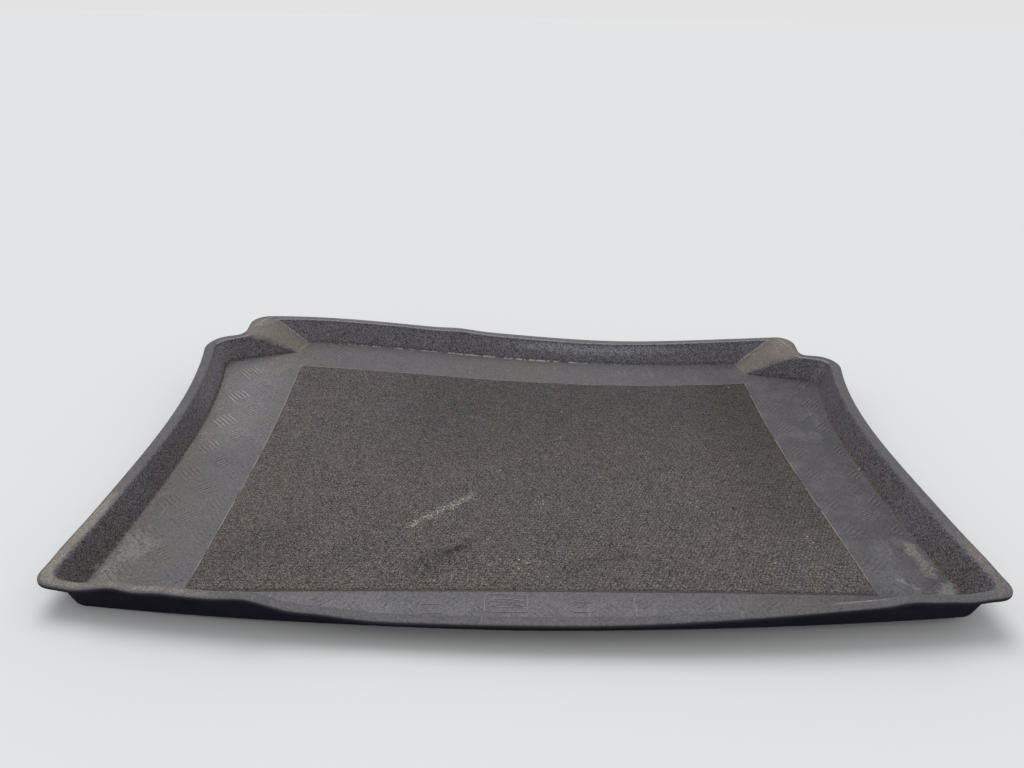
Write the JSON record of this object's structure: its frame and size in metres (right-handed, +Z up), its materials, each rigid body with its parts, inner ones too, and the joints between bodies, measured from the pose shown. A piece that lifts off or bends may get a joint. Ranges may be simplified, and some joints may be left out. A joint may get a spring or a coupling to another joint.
{
  "type": "car boot liner",
  "caption": "Moulded plastic boot tray with raised lipped walls, a low loading edge, stepped back corners and a textured anti-slip mat on its floor",
  "frame": {"origin": "under the middle of the liner's bounding box, at the height of the flat patch of floor that it rests on", "axes": "X runs across the boot, Y from the low loading edge towards the seats, Z up"},
  "size_m": [1.035, 0.71, 0.0839],
  "materials": {
    "tray_plastic": "matt, grained, scuffed and dusty",
    "mat_rubber": "matt, fine regular pimples"
  },
  "bodies": {
    "root": {"liner_tray": "tray_plastic", "anti_slip_mat": "mat_rubber"}
  },
  "joints": []
}
